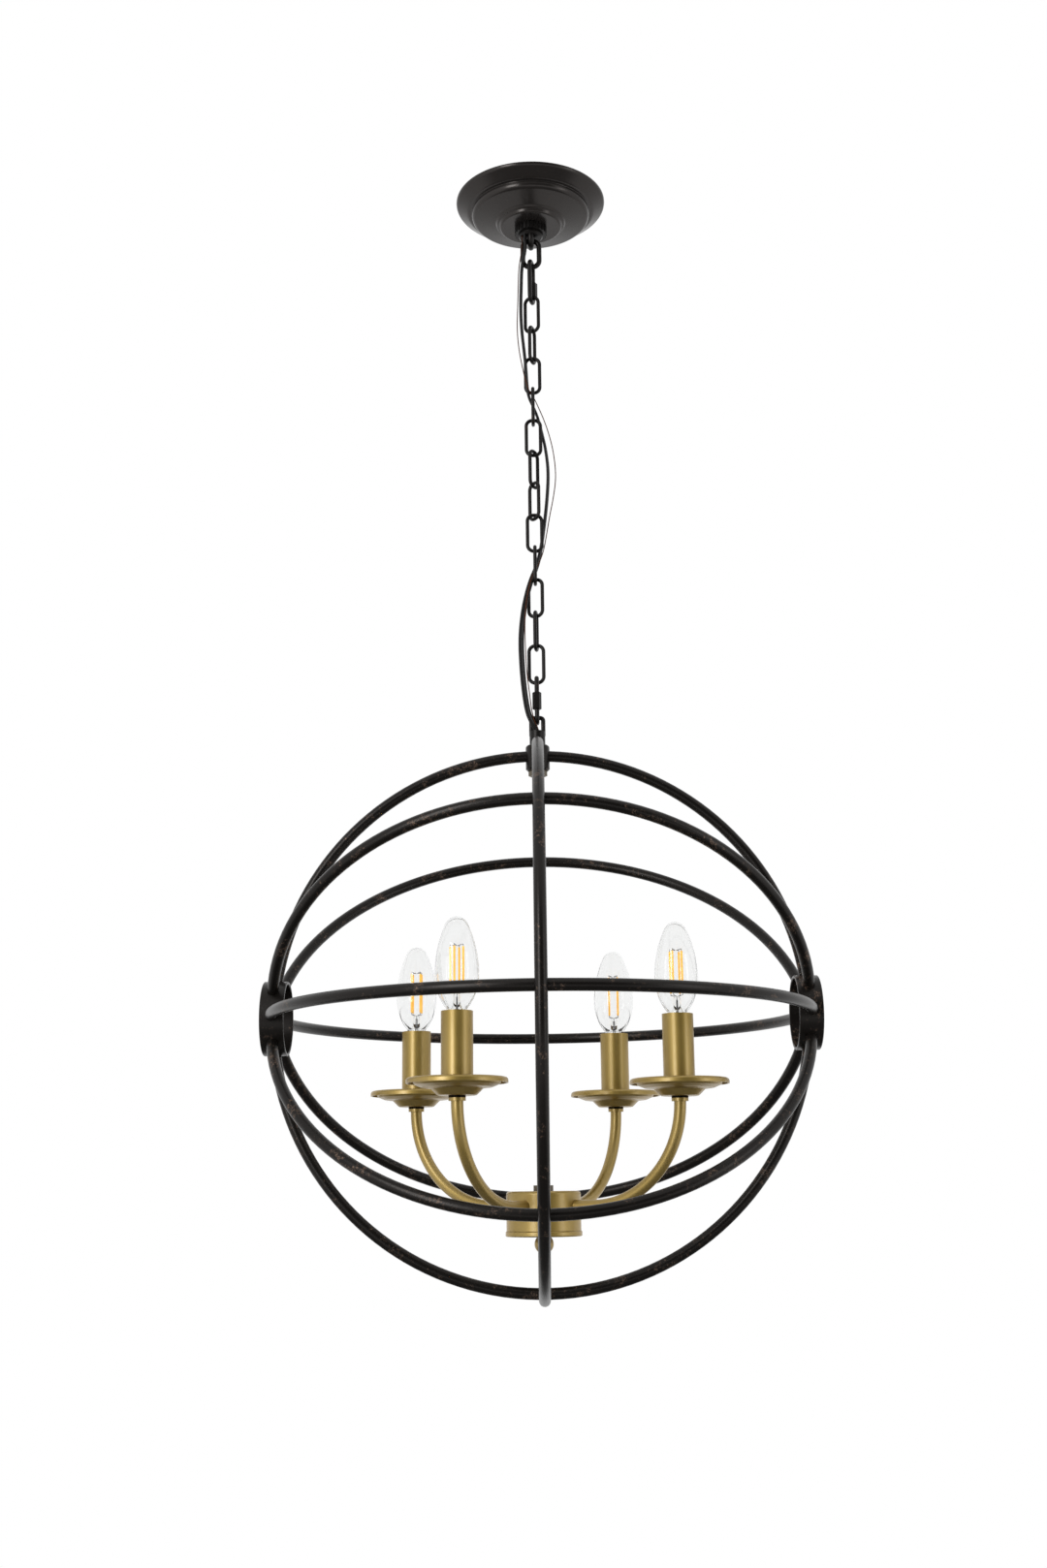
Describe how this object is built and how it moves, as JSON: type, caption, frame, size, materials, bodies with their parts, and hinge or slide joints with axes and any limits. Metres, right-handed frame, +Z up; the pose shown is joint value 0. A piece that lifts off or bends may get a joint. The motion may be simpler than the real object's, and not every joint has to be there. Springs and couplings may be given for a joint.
{
  "type": "pendant light",
  "caption": "Hanging globe light: rods bent to a round cage on a chain below a stepped ceiling canopy, with candle lamps on curved arms round a central stem.",
  "frame": {"origin": "middle of the canopy's ceiling face, between the two slots of the ceiling bar", "axes": "+Z up to the ceiling, +X along the ceiling bar and the cage's cross axis, -Y towards the viewer"},
  "size_m": [0.4636, 0.4674, 0.9918],
  "materials": {
    "bronze": "satin dark bronze",
    "antique_brass": "satin antique gold",
    "plated_steel": "zinc plated",
    "clear_glass": "clear",
    "bulb_brass": "bright",
    "black_plastic": "matte",
    "black_cord": "satin",
    "copper_wire": "bare copper"
  },
  "bodies": {
    "canopy_mount": {"canopy": "bronze", "mounting_bar": "plated_steel", "nipple": "plated_steel", "lock_nuts": "plated_steel", "canopy_loop": "bronze", "ground_screw": "plated_steel", "power_cord": "black_cord", "ground_wire": "copper_wire"},
    "collar_nut": {"collar_nut": "bronze"},
    "loop_link": {"loop_link": "bronze"},
    "quick_link_upper": {"quick_link_upper": "bronze"},
    "chain_link_01": {"chain_link_01": "bronze"},
    "chain_link_02": {"chain_link_02": "bronze"},
    "chain_link_03": {"chain_link_03": "bronze"},
    "chain_link_04": {"chain_link_04": "bronze"},
    "chain_link_05": {"chain_link_05": "bronze"},
    "chain_link_06": {"chain_link_06": "bronze"},
    "chain_link_07": {"chain_link_07": "bronze"},
    "chain_link_08": {"chain_link_08": "bronze"},
    "chain_link_09": {"chain_link_09": "bronze"},
    "chain_link_10": {"chain_link_10": "bronze"},
    "chain_link_11": {"chain_link_11": "bronze"},
    "chain_link_12": {"chain_link_12": "bronze"},
    "quick_link_lower": {"quick_link_lower": "bronze"},
    "quick_sleeve_upper": {"quick_sleeve_upper": "bronze"},
    "quick_sleeve_lower": {"quick_sleeve_lower": "bronze"},
    "orb": {"top_eye": "bronze", "top_coupling": "bronze", "side_collar_left": "bronze", "side_collar_right": "bronze", "half_ring_back": "bronze", "half_ring_back_upper": "bronze", "half_ring_top": "bronze", "half_ring_front_upper": "bronze", "half_ring_front": "bronze", "half_ring_front_lower": "bronze", "half_ring_bottom": "bronze", "half_ring_back_lower": "bronze", "outer_ring": "bronze", "stem": "antique_brass", "stem_nuts": "antique_brass", "hub_body": "antique_brass", "hub_cover": "antique_brass", "arm_1": "antique_brass", "arm_2": "antique_brass", "arm_3": "antique_brass", "arm_4": "antique_brass", "arm_nuts": "plated_steel", "drip_pans": "antique_brass", "candle_sleeves": "antique_brass", "lamp_sockets": "black_plastic"},
    "bulb_1": {"bulb_glass_1": "clear_glass", "bulb_base_1": "bulb_brass"},
    "bulb_2": {"bulb_glass_2": "clear_glass", "bulb_base_2": "bulb_brass"},
    "bulb_3": {"bulb_glass_3": "clear_glass", "bulb_base_3": "bulb_brass"},
    "bulb_4": {"bulb_glass_4": "clear_glass", "bulb_base_4": "bulb_brass"},
    "finial": {"finial": "antique_brass"}
  },
  "joints": [
    {"name": "loop_link_swing", "type": "hinge", "parent": "canopy_mount", "child": "loop_link", "pos_m": [0, 0, -0.0442], "axis": [0, 1, 0], "range_deg": [-12, 12], "deforming": ["power_cord", "ground_wire"]},
    {"name": "quick_link_upper_swing", "type": "hinge", "parent": "loop_link", "child": "quick_link_upper", "pos_m": [0, 0, -0.0655], "axis": [1, 0, 0], "range_deg": [-12, 12]},
    {"name": "chain_link_01_swing", "type": "hinge", "parent": "quick_link_upper", "child": "chain_link_01", "pos_m": [0, 0, -0.1009], "axis": [0.2419, 0.9703, 0], "range_deg": [-12, 12]},
    {"name": "chain_link_02_swing", "type": "hinge", "parent": "chain_link_01", "child": "chain_link_02", "pos_m": [0, 0, -0.1311], "axis": [0.9397, -0.342, 0], "range_deg": [-12, 12]},
    {"name": "chain_link_03_swing", "type": "hinge", "parent": "chain_link_02", "child": "chain_link_03", "pos_m": [0, 0, -0.1617], "axis": [0.342, 0.9397, 0], "range_deg": [-12, 12]},
    {"name": "chain_link_04_swing", "type": "hinge", "parent": "chain_link_03", "child": "chain_link_04", "pos_m": [0, 0, -0.1923], "axis": [1, 0, 0], "range_deg": [-12, 12]},
    {"name": "chain_link_05_swing", "type": "hinge", "parent": "chain_link_04", "child": "chain_link_05", "pos_m": [0, 0, -0.2229], "axis": [0, 1, 0], "range_deg": [-12, 12]},
    {"name": "chain_link_06_swing", "type": "hinge", "parent": "chain_link_05", "child": "chain_link_06", "pos_m": [0, 0, -0.2535], "axis": [1, 0, 0], "range_deg": [-12, 12]},
    {"name": "chain_link_07_swing", "type": "hinge", "parent": "chain_link_06", "child": "chain_link_07", "pos_m": [0, 0, -0.2841], "axis": [-0.5299, -0.848, 0], "range_deg": [-12, 12]},
    {"name": "chain_link_08_swing", "type": "hinge", "parent": "chain_link_07", "child": "chain_link_08", "pos_m": [0, 0, -0.3147], "axis": [0.6157, -0.788, 0], "range_deg": [-12, 12]},
    {"name": "chain_link_09_swing", "type": "hinge", "parent": "chain_link_08", "child": "chain_link_09", "pos_m": [0, 0, -0.3453], "axis": [-0.9976, -0.0698, 0], "range_deg": [-12, 12]},
    {"name": "chain_link_10_swing", "type": "hinge", "parent": "chain_link_09", "child": "chain_link_10", "pos_m": [0, 0, -0.3759], "axis": [0, -1, 0], "range_deg": [-12, 12]},
    {"name": "chain_link_11_swing", "type": "hinge", "parent": "chain_link_10", "child": "chain_link_11", "pos_m": [0, 0, -0.4065], "axis": [-0.9397, 0.342, 0], "range_deg": [-12, 12]},
    {"name": "chain_link_12_swing", "type": "hinge", "parent": "chain_link_11", "child": "chain_link_12", "pos_m": [0, 0, -0.4371], "axis": [-0.1392, -0.9903, 0], "range_deg": [-12, 12]},
    {"name": "quick_link_lower_swing", "type": "hinge", "parent": "chain_link_12", "child": "quick_link_lower", "pos_m": [0, 0, -0.4677], "axis": [-0.9903, 0.1392, 0], "range_deg": [-12, 12]},
    {"name": "orb_swing", "type": "hinge", "parent": "quick_link_lower", "child": "orb", "pos_m": [0, 0, -0.5038], "axis": [0, -1, 0], "range_deg": [-12, 12]},
    {"name": "collar_nut_turn", "type": "hinge", "parent": "canopy_mount", "child": "collar_nut", "pos_m": [0, 0, -0.02915], "axis": [0, 0, 1], "continuous": true},
    {"name": "upper_sleeve_turn", "type": "hinge", "parent": "quick_link_upper", "child": "quick_sleeve_upper", "pos_m": [0.00157, 0.00631, -0.0867], "axis": [0, 0, 1], "continuous": true},
    {"name": "lower_sleeve_turn", "type": "hinge", "parent": "quick_link_lower", "child": "quick_sleeve_lower", "pos_m": [0, -0.0065, -0.4859], "axis": [0, 0, 1], "continuous": true},
    {"name": "bulb_1_turn", "type": "hinge", "parent": "orb", "child": "bulb_1", "pos_m": [-0.06541, -0.10886, -0.77832], "axis": [0, 0, 1], "continuous": true},
    {"name": "bulb_2_turn", "type": "hinge", "parent": "orb", "child": "bulb_2", "pos_m": [0.10886, -0.06541, -0.77832], "axis": [0, 0, 1], "continuous": true},
    {"name": "bulb_3_turn", "type": "hinge", "parent": "orb", "child": "bulb_3", "pos_m": [0.06541, 0.10886, -0.77832], "axis": [0, 0, 1], "continuous": true},
    {"name": "bulb_4_turn", "type": "hinge", "parent": "orb", "child": "bulb_4", "pos_m": [-0.10886, 0.06541, -0.77832], "axis": [0, 0, 1], "continuous": true},
    {"name": "finial_turn", "type": "hinge", "parent": "orb", "child": "finial", "pos_m": [0, 0, -0.94297], "axis": [0, 0, 1], "continuous": true}
  ]
}
